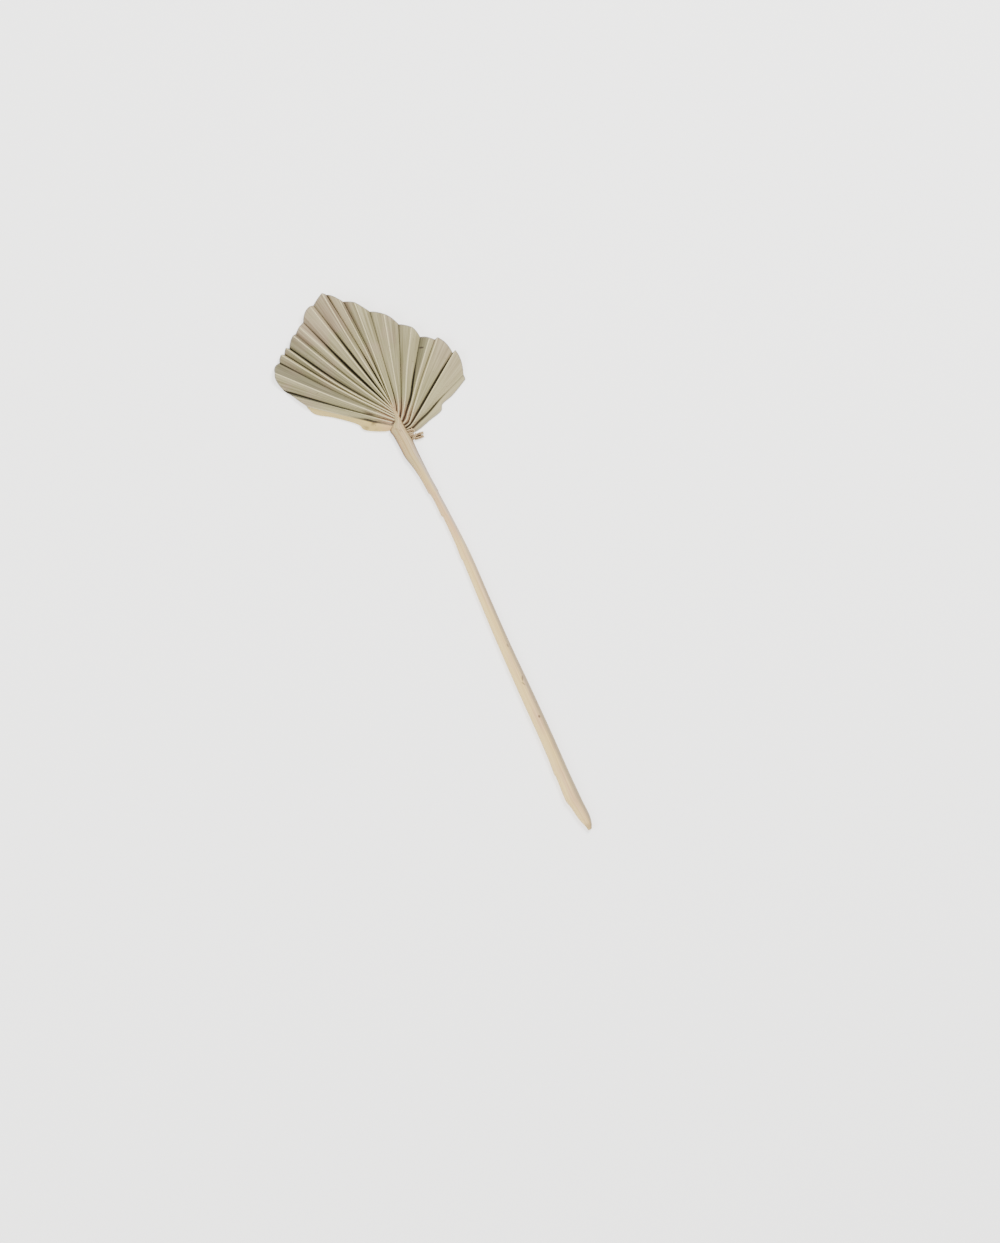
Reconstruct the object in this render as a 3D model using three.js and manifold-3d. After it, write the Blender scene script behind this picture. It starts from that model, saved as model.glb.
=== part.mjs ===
// A dried fan palm leaf, trimmed to a short pleated fan on its stem and laid down with its ribbed back up.
// Millimetres, +Z up. It is modelled round its hub, where the stem meets the fan: +Y runs from the cut end
// of the stem to the tip of the fan, +X to the right, and z = 0 is the surface that the leaf lies on.
import * as THREE from "three";
import { mergeVertices } from "three/addons/utils/BufferGeometryUtils.js";
import Module from "manifold-3d";

// Sizes that drive the leaf
const BLADE_THICKNESS = 1.0; // measured straight up, so the steepest facet is 0.65 thick across
const SEAT_GAP = 0.35; // between the fan and the stem that carries it
const ARCH = 2.6; // how far the middle of the fan bellies up between hub and cut edge
const ROWS = 13; // steps from the hub to the cut edge
const ACROSS = 3; // steps across each facet
const TOUCH = BLADE_THICKNESS / 2; // middle height of a sheet whose underside meets the surface
const ROOT_HEIGHT = { hem: 1.4, valley: 1.5, ridge: 2.2 }; // middle heights of the sheet beside the stem
const STEM_STEP = 8; // longest stretch of stem between two sections

// The stem, from its cut end to the tip of the costa, where it dies out between the pleats.
// Each section gives its left and right edge, its underside and the crest of its round back.
const STEM = [
  { y: -361.8, left: -12.1, right: -9.9, under: 1.0, crest: 3.6 },
  { y: -358, left: -12.9, right: -7.8, under: 0.3, crest: 5.2 },
  { y: -351, left: -15.3, right: -6.1, under: 0, crest: 6.3 },
  { y: -338, left: -17.1, right: -6.0, under: 0, crest: 6.9 },
  { y: -333, left: -18.2, right: -5.8, under: 0, crest: 7.4 },
  { y: -315, left: -16.7, right: -5.2, under: 0, crest: 7.2 },
  { y: -280, left: -14.3, right: -3.3, under: 0, crest: 6.9 },
  { y: -240, left: -12.4, right: -1.7, under: 0, crest: 6.6 },
  { y: -200, left: -10.1, right: -0.4, under: 0, crest: 6.2 },
  { y: -160, left: -7.2, right: 1.8, under: 0, crest: 5.8 },
  { y: -120, left: -4.1, right: 4.1, under: 0, crest: 5.4 },
  { y: -85, left: -2.6, right: 4.0, under: 0, crest: 5.2 },
  { y: -60, left: -3.8, right: 3.4, under: 0, crest: 5.5 },
  { y: -40, left: -6.0, right: 3.4, under: 0, crest: 6.2 },
  { y: -30, left: -8.0, right: 3.6, under: 0, crest: 6.8 },
  { y: -20, left: -8.2, right: 4.0, under: 0, crest: 7.2 },
  { y: -10, left: -8.6, right: 3.5, under: 0, crest: 7.0 },
  { y: -5.5, left: -9.6, right: 3.4, under: 0.2, crest: 6.5 },
  { y: -2.5, left: -8.4, right: 3.3, under: 0.4, crest: 6.1 },
  { y: 0, left: -6.0, right: 3.2, under: 0.6, crest: 5.7 },
  { y: 4, left: -3.4, right: 3.1, under: 0.8, crest: 5.2 },
  { y: 9, left: -1.5, right: 3.0, under: 0.9, crest: 4.6 },
  { y: 13.5, left: 0.1, right: 3.0, under: 0.9, crest: 4.0 },
  { y: 16.5, left: 1.6, right: 2.7, under: 1.0, crest: 3.0 },
];

// Right half of the stem's section, as shares of its half width and height: a flat strip below,
// the widest place low on the flank, and a round back.
const STEM_SECTION = [[0.58, 0], [0.9, 0.12], [1, 0.34], [0.95, 0.58], [0.74, 0.82], [0.4, 0.96], [0, 1]];

// The pleats, from the left hem over the tip to the right hem. A fold starts beside the stem, on its left
// or right, at the y given as root, and runs through the points of its path to its end on the cut edge.
// rise is its height there, and bulge is how far the cut edge of the facet after it bows out.
const FOLDS = [
  { kind: "hem", side: "left", root: -4.6, rise: TOUCH, bulge: 0,
    path: [[-12.5, -4], [-25, 3], [-27.5, 5.5], [-28.5, 9.5], [-43.5, 24], [-56.5, 34], [-59.3, 40.5]] },
  { kind: "ridge", side: "left", root: -3, rise: 3, bulge: 0.8, path: [[-33.5, 20.5], [-59.5, 42.5]] },
  { kind: "ridge", side: "left", root: -1.4, rise: 2.2, bulge: 0, path: [[-35.5, 27.5], [-66, 55]] },
  { kind: "valley", side: "left", root: -0.2, rise: 1.4, bulge: 3, path: [[-36, 29.5], [-69.5, 60.5]] },
  { kind: "ridge", side: "left", root: 0.9, rise: 6.2, bulge: 2.2, path: [[-38.5, 40.5], [-70, 77]] },
  { kind: "valley", side: "left", root: 2, rise: 2.4, bulge: 0.6, path: [[-35, 44], [-63, 83]] },
  { kind: "ridge", side: "left", root: 3, rise: 5.8, bulge: 0, path: [[-31.5, 44], [-59, 88]] },
  { kind: "valley", side: "left", root: 3.8, rise: 3.2, bulge: 0.4, path: [[-30, 44.5], [-56.5, 87]] },
  { kind: "ridge", side: "left", root: 4.7, rise: 6.6, bulge: 0, path: [[-29.3, 46], [-53, 91]] },
  { kind: "valley", side: "left", root: 5.5, rise: 4, bulge: 0.8, path: [[-27.5, 47], [-50.8, 89.5]] },
  { kind: "ridge", side: "left", root: 6.4, rise: 8.2, bulge: 0, path: [[-22.9, 51.5], [-43.5, 97]] },
  { kind: "valley", side: "left", root: 7.2, rise: 5.6, bulge: 0, path: [[-21.2, 52], [-41, 97.5]] },
  { kind: "ridge", side: "left", root: 8.2, rise: 8.6, bulge: 0, path: [[-18.5, 55.5], [-36, 101]] },
  { kind: "valley", side: "left", root: 9.3, rise: 5, bulge: 2, path: [[-16, 55.5], [-31.3, 103.2]] },
  { kind: "ridge", side: "left", root: 11, rise: 10.2, bulge: 0, path: [[-10.5, 61.5], [-20.8, 111.5]] },
  { kind: "valley", side: "left", root: 12.6, rise: 6.6, bulge: 0.4, path: [[-8.3, 61], [-17.9, 111.3]] },
  { kind: "ridge", side: "left", root: 14.4, rise: 11.2, bulge: 0.3, path: [[-4, 65], [-7.6, 116.4]] },
  { kind: "valley", side: "left", root: 16.9, rise: 7.2, bulge: 1.2, path: [[-0.7, 65], [-4.8, 114]] },
  { kind: "ridge", side: "right", root: 16.9, rise: 11.6, bulge: 0, path: [[2.9, 61], [2.4, 106]] },
  { kind: "valley", side: "right", root: 14, rise: 8, bulge: 0.4, path: [[4.9, 60], [4.5, 103]] },
  { kind: "ridge", side: "right", root: 10.5, rise: 12, bulge: 0.4, path: [[7.4, 54.5], [12.3, 98.2]] },
  { kind: "valley", side: "right", root: 6.5, rise: 6.8, bulge: 0.6, path: [[11.9, 46], [19.8, 86.6]] },
  { kind: "ridge", side: "right", root: 3, rise: 11.6, bulge: 1.2, path: [[17.2, 41.5], [29.1, 79.3]] },
  { kind: "valley", side: "right", root: 0.2, rise: 6.2, bulge: 0.4, path: [[20, 32.5], [35.8, 67.2]] },
  { kind: "ridge", side: "right", root: -2, rise: 11, bulge: 1, path: [[24.2, 29.8], [44, 60.2]] },
  { kind: "valley", side: "right", root: -3.8, rise: 5.6, bulge: 0.5, path: [[25.5, 21.8], [46.5, 50.4]] },
  { kind: "ridge", side: "right", root: -5.2, rise: 10, bulge: 0, path: [[28.6, 20.2], [53, 46]] },
  { kind: "valley", side: "right", root: -6.4, rise: 7.4, bulge: 0, path: [[30.5, 18.6], [56.1, 43]] },
  { kind: "ridge", side: "right", root: -7.6, rise: 8.8, bulge: 1.8, path: [[32.4, 18.2], [58.8, 43.4]] },
  { kind: "valley", side: "right", root: -9, rise: 3.8, bulge: 0, path: [[34, 8.6], [64, 27.2]] },
  { kind: "ridge", side: "right", root: -10.4, rise: 6.8, bulge: 2.2, path: [[36, 8], [66.8, 28.1]] },
  { kind: "valley", side: "right", root: -12, rise: 2, bulge: 0.3, path: [[35, -2], [63.8, 8]] },
  { kind: "hem", side: "right", root: -14.5, rise: TOUCH, bulge: 0,
    path: [[10.5, -15.2], [24, -12.2], [35.3, -9.4], [37.8, -5.6], [47.5, -3], [54, -0.4], [63.4, 4]] },
];

// Torn, curled shreds of the lowest segments, beside the stem under the right hem
const SHRED_WIDTH = 2.4;
const SHRED_THICKNESS = 0.8;
const SHRED_STEPS = 10;
const SHREDS = [
  [[7.6, -12.8, 1.6], [8.6, -15.8, 2.8], [11, -17.8, 3.6], [14.4, -19.2, 2.8]],
  [[6.6, -13.2, 1.6], [6.9, -17.2, 3], [9.2, -19.8, 3.6], [13, -21.6, 2.4]],
  [[6, -13, 1.6], [5.7, -16.4, 2.8], [6, -19, 2.6], [6, -21, 1.6]],
];

const wasm = await Module();
wasm.setup();

// Value of one measure of the stem at y, on a smooth curve through its sections.
function stemMeasure(key, y) {
  const last = STEM.length - 1;
  const above = STEM.findIndex((section) => section.y > y);
  const index = above < 0 ? last : Math.max(above, 1);
  const slope = (i) => {
    const before = STEM[Math.max(i - 1, 0)];
    const after = STEM[Math.min(i + 1, last)];
    return (after[key] - before[key]) / (after.y - before.y);
  };
  const a = STEM[index - 1];
  const b = STEM[index];
  const span = b.y - a.y;
  const t = THREE.MathUtils.clamp((y - a.y) / span, 0, 1);
  const rise = b[key] - a[key];
  const startSlope = slope(index - 1) * span;
  const endSlope = slope(index) * span;
  return a[key] + t * startSlope
    + t * t * (3 * rise - 2 * startSlope - endSlope)
    + t * t * t * (startSlope + endSlope - 2 * rise);
}

// Section of the stem at y, as a closed ring of points.
function stemRing(y) {
  const left = stemMeasure("left", y);
  const right = stemMeasure("right", y);
  const under = Math.max(stemMeasure("under", y), 0);
  const height = stemMeasure("crest", y) - under;
  const middle = (left + right) / 2;
  const half = (right - left) / 2;
  const place = (side, [share, up]) =>
    new THREE.Vector3(middle + side * half * share, y, under + height * up);
  const rightSide = STEM_SECTION.map((point) => place(1, point));
  const leftSide = STEM_SECTION.slice(0, -1).map((point) => place(-1, point));
  return [...leftSide, ...rightSide.reverse()];
}

// The stem: its rings joined by walls, with a flat face over each end.
function stemGeometry() {
  const stations = [STEM[0].y];
  for (let i = 1; i < STEM.length; i += 1) {
    const span = STEM[i].y - STEM[i - 1].y;
    const steps = Math.ceil(span / STEM_STEP);
    for (let step = 1; step <= steps; step += 1) {
      stations.push(STEM[i - 1].y + (span * step) / steps);
    }
  }
  const rings = stations.map(stemRing);
  const sides = rings[0].length;
  const positions = rings.flat().flatMap((point) => [point.x, point.y, point.z]);
  const faces = [];
  for (let ring = 0; ring + 1 < rings.length; ring += 1) {
    for (let side = 0; side < sides; side += 1) {
      const a = ring * sides + side;
      const b = ring * sides + ((side + 1) % sides);
      faces.push(a, b, b + sides, a, b + sides, a + sides);
    }
  }
  const lastRing = (rings.length - 1) * sides;
  for (let side = 1; side + 1 < sides; side += 1) {
    faces.push(0, side + 1, side);
    faces.push(lastRing, lastRing + side, lastRing + side + 1);
  }
  return new THREE.BufferGeometry()
    .setAttribute("position", new THREE.Float32BufferAttribute(positions, 3))
    .setIndex(faces);
}

// Smooth line of one fold from its root beside the stem to the cut edge, climbing evenly to its rise.
function foldCurve(fold) {
  const gap = fold.side === "left" ? -SEAT_GAP : SEAT_GAP;
  const root = [stemMeasure(fold.side, fold.root) + gap, fold.root];
  const corners = [root, ...fold.path].map(([x, y]) => new THREE.Vector2(x, y));
  const runs = [0];
  for (let i = 1; i < corners.length; i += 1) {
    runs.push(runs[i - 1] + corners[i].distanceTo(corners[i - 1]));
  }
  const run = runs[runs.length - 1];
  const points = corners.map((corner, i) => {
    const height = THREE.MathUtils.lerp(ROOT_HEIGHT[fold.kind], fold.rise, runs[i] / run);
    return new THREE.Vector3(corner.x, corner.y, height);
  });
  return new THREE.CatmullRomCurve3(points, false, "centripetal");
}

// Middle of the sheet, as columns of points from the stem to the cut edge, one for each step across a facet.
function bladeColumns() {
  const curves = FOLDS.map(foldCurve);
  const lastFold = FOLDS.length - 1;
  const columns = [];
  for (let column = 0; column <= lastFold * ACROSS; column += 1) {
    const fold = Math.min(Math.floor(column / ACROSS), lastFold - 1);
    const across = column / ACROSS - fold;
    const bow = 4 * across * (1 - across) * FOLDS[fold].bulge;
    const sideways = (2 * column) / (lastFold * ACROSS) - 1;
    const outward = curves[fold].getTangentAt(1).add(curves[fold + 1].getTangentAt(1)).setZ(0).normalize();
    const points = [];
    for (let row = 0; row <= ROWS; row += 1) {
      const along = row / ROWS;
      const point = curves[fold].getPointAt(along).lerp(curves[fold + 1].getPointAt(along), across);
      point.addScaledVector(outward, bow * along ** 3);
      point.z += ARCH * (1 - sideways ** 2) * 4 * along * (1 - along);
      points.push(point);
    }
    columns.push(points);
  }
  return columns;
}

// The pleated sheet: its middle lifted and lowered by half the thickness, split alike on both faces.
function sheetGeometry() {
  const columns = bladeColumns();
  const rows = ROWS + 1;
  const lower = columns.length * rows;
  const positions = [];
  for (const lift of [TOUCH, -TOUCH]) {
    for (const point of columns.flat()) positions.push(point.x, point.y, point.z + lift);
  }
  const faces = [];
  const wall = (a, b) => faces.push(a, a + lower, b + lower, a, b + lower, b);
  for (let column = 0; column + 1 < columns.length; column += 1) {
    const root = column * rows;
    for (let a = root; a < root + ROWS; a += 1) {
      const b = a + rows;
      faces.push(a, b, b + 1, a, b + 1, a + 1);
      faces.push(a + lower, b + 1 + lower, b + lower, a + lower, a + 1 + lower, b + 1 + lower);
    }
    wall(root, root + rows);
    wall(root + rows + ROWS, root + ROWS);
  }
  const lastColumn = (columns.length - 1) * rows;
  for (let row = 0; row < ROWS; row += 1) {
    wall(row + 1, row);
    wall(lastColumn + row, lastColumn + row + 1);
  }
  return new THREE.BufferGeometry()
    .setAttribute("position", new THREE.Float32BufferAttribute(positions, 3))
    .setIndex(faces);
}

// One shred: a narrow strip swept along its curl.
function shredGeometry(points) {
  const strip = new THREE.Shape([
    new THREE.Vector2(-SHRED_THICKNESS / 2, -SHRED_WIDTH / 2),
    new THREE.Vector2(SHRED_THICKNESS / 2, -SHRED_WIDTH / 2),
    new THREE.Vector2(SHRED_THICKNESS / 2, SHRED_WIDTH / 2),
    new THREE.Vector2(-SHRED_THICKNESS / 2, SHRED_WIDTH / 2),
  ]);
  const curl = new THREE.CatmullRomCurve3(points.map(([x, y, z]) => new THREE.Vector3(x, y, z)));
  return new THREE.ExtrudeGeometry(strip, { steps: SHRED_STEPS, extrudePath: curl });
}

function solidOf(geometry) {
  geometry.deleteAttribute("normal");
  geometry.deleteAttribute("uv");
  const merged = mergeVertices(geometry, 1e-4);
  return new wasm.Manifold(
    new wasm.Mesh({
      numProp: 3,
      vertProperties: new Float32Array(merged.attributes.position.array),
      triVerts: new Uint32Array(merged.index.array),
    }),
  );
}

// The fan with its shreds, joined into one body.
function bladeGeometry() {
  const sheet = solidOf(sheetGeometry());
  const joined = SHREDS.reduce((body, shred) => body.add(solidOf(shredGeometry(shred))), sheet);
  const mesh = joined.getMesh();
  return new THREE.BufferGeometry()
    .setAttribute("position", new THREE.BufferAttribute(new Float32Array(mesh.vertProperties), 3))
    .setIndex(new THREE.BufferAttribute(new Uint32Array(mesh.triVerts), 1));
}

function named(name, geometry, colour, roughness) {
  const look = { color: colour, roughness, metalness: 0, flatShading: true };
  const mesh = new THREE.Mesh(geometry, new THREE.MeshStandardMaterial(look));
  mesh.name = name;
  return mesh;
}

const leaf = new THREE.Group();
leaf.add(named("blade", bladeGeometry(), "#b5ab90", 0.8));
leaf.add(named("petiole", stemGeometry(), "#cdbb9a", 0.65));

// The leaf's own origin is the middle of the surface under it.
const extent = new THREE.Box3().setFromObject(leaf);
const centre = extent.getCenter(new THREE.Vector3());
leaf.position.set(-centre.x, -centre.y, -extent.min.z);

export default leaf;
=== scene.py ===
"""The looks of a dried, trimmed fan palm leaf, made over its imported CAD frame."""

import math
from collections import namedtuple

import bpy
import numpy as np
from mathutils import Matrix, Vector, noise


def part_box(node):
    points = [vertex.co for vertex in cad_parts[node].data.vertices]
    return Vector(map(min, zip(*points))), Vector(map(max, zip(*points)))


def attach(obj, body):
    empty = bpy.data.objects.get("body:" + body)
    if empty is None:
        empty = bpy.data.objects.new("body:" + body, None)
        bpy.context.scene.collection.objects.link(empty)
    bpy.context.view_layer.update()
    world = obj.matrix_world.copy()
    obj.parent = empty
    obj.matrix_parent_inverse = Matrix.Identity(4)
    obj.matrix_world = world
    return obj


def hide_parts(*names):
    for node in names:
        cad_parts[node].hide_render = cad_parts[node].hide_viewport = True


bl_info = {
    "name": "Fan palm leaf",
    "version": (1, 0, 0),
    "blender": (4, 5, 0),
    "location": "3D View > Sidebar > Palm leaf",
    "description": "Makes a dried, trimmed fan palm leaf lying on a surface",
    "category": "Add Mesh",
}

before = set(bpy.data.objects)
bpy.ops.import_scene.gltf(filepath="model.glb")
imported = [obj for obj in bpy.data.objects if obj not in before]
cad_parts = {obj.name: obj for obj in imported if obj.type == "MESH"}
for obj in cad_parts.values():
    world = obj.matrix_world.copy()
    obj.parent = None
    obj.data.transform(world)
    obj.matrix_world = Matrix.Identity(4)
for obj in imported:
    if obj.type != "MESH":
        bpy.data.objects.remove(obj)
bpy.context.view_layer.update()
MM = 0.001

# The leaf is laid out round its hub in millimetres: +Y runs to the tip of the fan, and z = 0 is the surface
# that it lies on.

# What a row of each table below holds
Section = namedtuple("Section", "y left right under crest")
Notch = namedtuple("Notch", "y side depth")
Fold = namedtuple("Fold", "kind side root rise bulge gape tone path")
Roll = namedtuple("Roll", "root tip turn path")
Paint = namedtuple("Paint", "colour cover")
Pattern = namedtuple("Pattern", "size detail start end")
Mark = namedtuple("Mark", "paint place size turn")
Finish = namedtuple("Finish", "roughness specular relief")
Light = namedtuple("Light", "name right up height size power")

# The stem from its cut end to the tip of the costa: its edges, its underside and the crest of its back
STEM = [
    Section(-361.8, -12.7, -9.5, 1.0, 4.2),
    Section(-358, -13.3, -7.6, 0.3, 5.4),
    Section(-351, -15.3, -6.1, 0, 6.3),
    Section(-338, -17.1, -6.0, 0, 6.9),
    Section(-333, -18.2, -5.8, 0, 7.4),
    Section(-315, -16.7, -5.2, 0, 7.2),
    Section(-280, -14.3, -3.3, 0, 6.9),
    Section(-240, -12.4, -1.7, 0, 6.6),
    Section(-200, -10.1, -0.4, 0, 6.2),
    Section(-160, -7.2, 1.8, 0, 5.8),
    Section(-120, -4.1, 4.1, 0, 5.4),
    Section(-85, -2.6, 4.0, 0, 5.2),
    Section(-60, -3.8, 3.4, 0, 5.5),
    Section(-40, -6.0, 3.4, 0, 6.0),
    Section(-30, -8.0, 3.6, 0, 6.3),
    Section(-20, -8.2, 4.0, 0, 6.4),
    Section(-10, -8.6, 3.5, 0, 6.2),
    Section(-5.5, -9.2, 3.4, 0.2, 5.8),
    Section(-2.5, -5.4, 3.4, 0.4, 5.4),
    Section(0, -3.0, 3.3, 0.6, 5.2),
    Section(4, -0.8, 3.1, 0.8, 4.8),
    Section(9, -0.3, 3.0, 0.9, 4.2),
    Section(13.5, 0.3, 3.0, 0.9, 3.5),
    Section(16.5, 1.6, 2.7, 1.0, 2.8),
]

# Half of the stem's section, from the middle of its flat underside over the flank to the top of its back
STEM_SECTION = [(0, 0), (0.58, 0), (0.9, 0.12), (1, 0.34), (0.95, 0.58), (0.74, 0.82), (0.4, 0.96), (0, 1)]
STEM_SIDES = 40
STEM_ROWS = 240
WELD = 0.02 * MM
CUT_FROM = -352
CUT_LENGTH = 6

# Small steps in the stem's edges, where the sheath of torn skin ends: the stem is wider just above each
NOTCHES = [
    Notch(-64, "left", 0.8),
    Notch(-67, "right", 0.5),
    Notch(-85.5, "left", 0.9),
    Notch(-123.5, "left", 0.6),
    Notch(-310, "left", 0.6),
]
NOTCH_LENGTH = 14

# The pleats, from the left hem over the tip to the right hem. gape is half the width of the dark gap along
# a fold, painted shade in the valley, at five even steps from root to end, and tone is how much painted
# light or shade the facet after it gets.
NO_GAPE = (0, 0, 0, 0, 0)
FOLDS = [
    Fold("hem", "left", -5.2, 0.6, 0, NO_GAPE, 0.2,
         [(-12.5, -4), (-25, 3), (-27.5, 5.5), (-28.5, 9.5), (-43.5, 24), (-56.5, 34), (-59.3, 40.5)]),
    Fold("ridge", "left", -2.6, 3, 0.8, (0.1, 0.9, 0.2, 0, 0), 0, [(-33.5, 20.5), (-59.5, 42.5)]),
    Fold("ridge", "left", -1.4, 2.2, 0, NO_GAPE, -1, [(-35.5, 27.5), (-66, 55)]),
    Fold("valley", "left", -0.4, 1.4, 3, (0.2, 0.4, 0.6, 1.1, 1.4), 0.1, [(-36, 29.5), (-69.5, 60.5)]),
    Fold("ridge", "left", 0.6, 6.2, 2.2, NO_GAPE, -0.6, [(-38.5, 40.5), (-70, 77)]),
    Fold("valley", "left", 1.6, 2.4, 0.6, (0.2, 0.2, 0.2, 0.4, 0.6), 0, [(-35, 44), (-63, 83)]),
    Fold("ridge", "left", 2.5, 5.8, 0, NO_GAPE, 0, [(-31.5, 44), (-59, 88)]),
    Fold("valley", "left", 3.3, 3.2, 0.4, (0.2, 0.2, 0.2, 0.5, 0.4), -0.15, [(-30, 44.5), (-56.5, 87)]),
    Fold("ridge", "left", 4.2, 6.6, 0, NO_GAPE, -0.3, [(-29.3, 46), (-53, 91)]),
    Fold("valley", "left", 5.2, 4, 0.8, (0.2, 0.5, 0.7, 0.9, 0.7), -0.25, [(-27.5, 47), (-50.8, 89.5)]),
    Fold("ridge", "left", 6.4, 8.2, 0, NO_GAPE, -0.5, [(-22.9, 51.5), (-43.5, 97)]),
    Fold("valley", "left", 7.4, 5.6, 0, (0.2, 0.3, 0.3, 0.2, 0.2), 0.2, [(-21.2, 52), (-41, 97.5)]),
    Fold("ridge", "left", 8.6, 8.6, 0, NO_GAPE, 0, [(-18.5, 55.5), (-36, 101)]),
    Fold("valley", "left", 10, 5, 2, (0.3, 1.2, 1.4, 0.6, 0.2), 0.2, [(-16, 55.5), (-31.3, 103.2)]),
    Fold("ridge", "left", 11.4, 10.2, 0, NO_GAPE, 0.15, [(-10.5, 61.5), (-20.8, 111.5)]),
    Fold("valley", "left", 12.8, 6.6, 0.4, (0.3, 1.0, 1.0, 0.4, 0.1), 0.1, [(-8.3, 61), (-17.9, 111.3)]),
    Fold("ridge", "left", 14.6, 11.2, 0.3, NO_GAPE, -0.15, [(-4, 65), (-7.6, 116.4)]),
    Fold("valley", "left", 16.9, 7.2, 1.2, (0.6, 0.9, 0.4, 0.3, 0.6), 0.6, [(-0.7, 65), (-4.8, 114)]),
    Fold("ridge", "right", 16.9, 11.6, 0, NO_GAPE, -0.25, [(2.9, 61), (2.4, 106)]),
    Fold("valley", "right", 14, 8, 0.4, (0.5, 1.0, 0.5, 0.3, 0.2), 0, [(4.9, 60), (4.5, 103)]),
    Fold("ridge", "right", 10.5, 12, 0.4, NO_GAPE, 0, [(7.4, 54.5), (12.3, 98.2)]),
    Fold("valley", "right", 4.8, 6.8, 0.6, (0.9, 0.6, 0.3, 0.3, 0.4), 0.2,
         [(4, 8.7), (6.3, 16.4), (11.9, 46), (19.8, 86.6)]),
    Fold("ridge", "right", 2.6, 11.6, 1.2, NO_GAPE, -0.1,
         [(5.6, 7.8), (8.6, 15), (17.2, 41.5), (29.1, 79.3)]),
    Fold("valley", "right", 0.2, 6.2, 0.4, (1.0, 0.5, 0.3, 0.3, 0.4), 0,
         [(6.5, 5.5), (11.1, 14.1), (20, 32.5), (35.8, 67.2)]),
    Fold("ridge", "right", -1.8, 11, 1, NO_GAPE, 0.3,
         [(6.4, 2), (13.8, 12), (24.2, 29.8), (44, 60.2)]),
    Fold("valley", "right", -3.8, 5.6, 0.5, (0.8, 1.1, 1.0, 0.3, 0.1), -0.45,
         [(6.2, -1), (11.8, 4.7), (17.7, 10.7), (25.5, 21.8), (46.5, 50.4)]),
    Fold("ridge", "right", -5.2, 10, 0, NO_GAPE, 0.6,
         [(6.8, -3.4), (11, 1.2), (16.6, 6.8), (28.6, 20.2), (53, 46)]),
    Fold("valley", "right", -6.4, 7.4, 0, (0.8, 0.2, 0.2, 0.3, 0.3), 0.1,
         [(6.4, -6), (9.1, -4.1), (11.5, -1.4), (30.5, 18.6), (56.1, 43)]),
    Fold("ridge", "right", -7.6, 8.8, 1.8, NO_GAPE, 0.2,
         [(7, -7.3), (10.2, -4.6), (14, -0.6), (32.4, 18.2), (58.8, 43.4)]),
    Fold("valley", "right", -9, 3.8, 0, (0.8, 1.0, 1.0, 1.1, 0.3), -0.8,
         [(7.5, -8.2), (16.1, -3.1), (34, 8.4), (64, 27.2)]),
    Fold("ridge", "right", -10.2, 6.8, 2.2, NO_GAPE, 0.45,
         [(7.8, -9.4), (16.4, -4.6), (36, 8), (66.8, 28.1)]),
    Fold("valley", "right", -11.4, 2, 0.3, (0.7, 0.9, 0.7, 0.1, 0), 0.7,
         [(8, -11.4), (15.4, -9), (24.3, -6.4), (35, -2), (63.8, 8)]),
    Fold("hem", "right", -14.5, 0.6, 0, NO_GAPE, 0,
         [(10.5, -15.2), (24, -12.2), (35.3, -9.4), (37.8, -5.6), (47.5, -3), (54, -0.4), (63.4, 4)]),
]

# The facet after the left hem is the cream flap, and the last one ends at the right hem
FLAP_FACET = 0
LAST_FACET = len(FOLDS) - 2

# The hub's place in the frame, from the stem's leftmost point and the tip of the fan
HUB = (
    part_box("petiole")[0].x / MM - min(section.left for section in STEM),
    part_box("blade")[1].y / MM - max(y for fold in FOLDS for _, y in fold.path),
    0.0,
)

# How finely the blade is meshed: rows from hub to rim, and columns across each facet, closer at its folds
BLADE_ROWS = 96
COLUMN_STEP = 1.1
FEWEST_COLUMNS = 4
COLUMN_CROWDING = 0.6
CURVE_STEPS = 40

# How the dried skin is shaped: its root reaches into the stem, it arches from hub to rim, its cut edge
# bulges between the folds, it sinks at each dark gap and stands up along each ridge. Its slow waves are
# full past a quarter of its length, and its middle never comes lower than LOWEST_SKIN.
ROOT_OVERLAP = 0.7
ARCH = 2.6
BULGE_POWER = 3
GAP_DEPTH = 1.8
GAP_SPREAD = 0.9
RIB_HEIGHT = 0.25
RIB_WIDTH = 0.5
FAR_FROM_RIDGE = 9.0
WAVE_LENGTH = 18.0
WAVES_FULL_AT = 0.25
LOWEST_SKIN = 0.55

# A facet's painted light or shade grows from the hub outwards, and so does the painted shade on the side of
# a valley that is turned from the light: how much is there at the hub, and at which share of the facet's
# length it is full. LEE_REACH is how far the painted shade spreads, as a share of the facet's width.
TONE_AT_HUB = 0.3
TONE_FULL_AT = 0.5
LEE_SHADE = 0.55
LEE_REACH = 0.24
LEE_AT_HUB = 0.2
LEE_FULL_AT = 0.7

# Heights of the pleats' roots on the stem, as shares of its crest, on each side: the left ones lie on it,
# and the right ones come out from under its edge
ROOT_SHARES = {
    "left": ([-5.2, -2, 3], [0.36, 0.72, 0.92]),
    "right": ([-14, -4, 8], [0.3, 0.46, 0.86]),
}
ROOT_STEP = 0.4
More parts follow.
